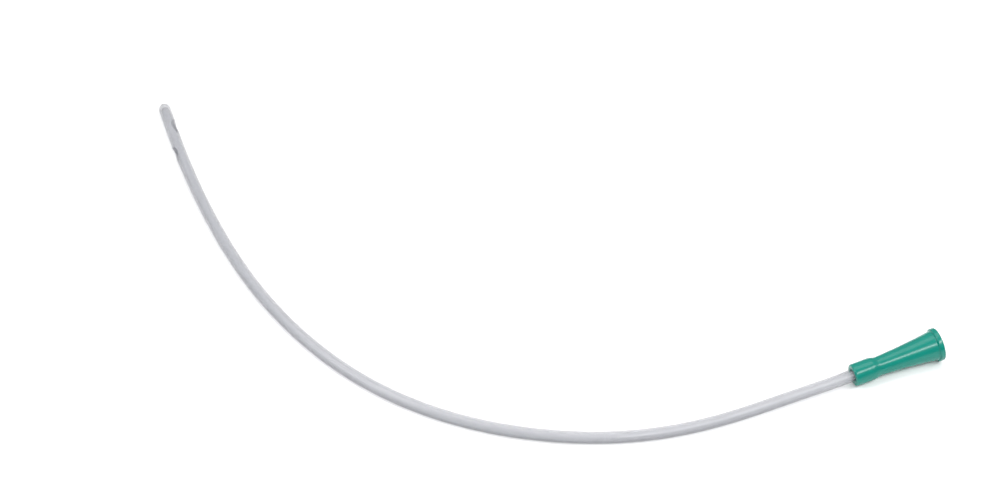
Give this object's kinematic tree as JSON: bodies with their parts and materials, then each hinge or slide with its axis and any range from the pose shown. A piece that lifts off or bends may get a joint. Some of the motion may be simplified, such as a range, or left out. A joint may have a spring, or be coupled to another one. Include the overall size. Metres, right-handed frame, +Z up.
{
  "type": "urethral catheter",
  "caption": "Single-use straight urethral catheter: clear PVC shaft with a rounded tip and two side eyes, bonded into a green funnel connector, lying in its natural curve",
  "frame": {"origin": "on the surface that the catheter lies on, below the middle of its overall box", "axes": "+X the way the funnel points, seen from above; +Z up from the surface; the shaft curves away from the collar and its tip points to +Y"},
  "size_m": [0.2247, 0.2466, 0.0128],
  "materials": {
    "clear_pvc": "clear plasticised PVC, extruded, faintly frosted",
    "green_pvc": "semi-translucent green PVC, moulded, soft gloss"
  },
  "bodies": {
    "root": {"catheter_shaft": "clear_pvc", "funnel_connector": "green_pvc"}
  },
  "joints": []
}
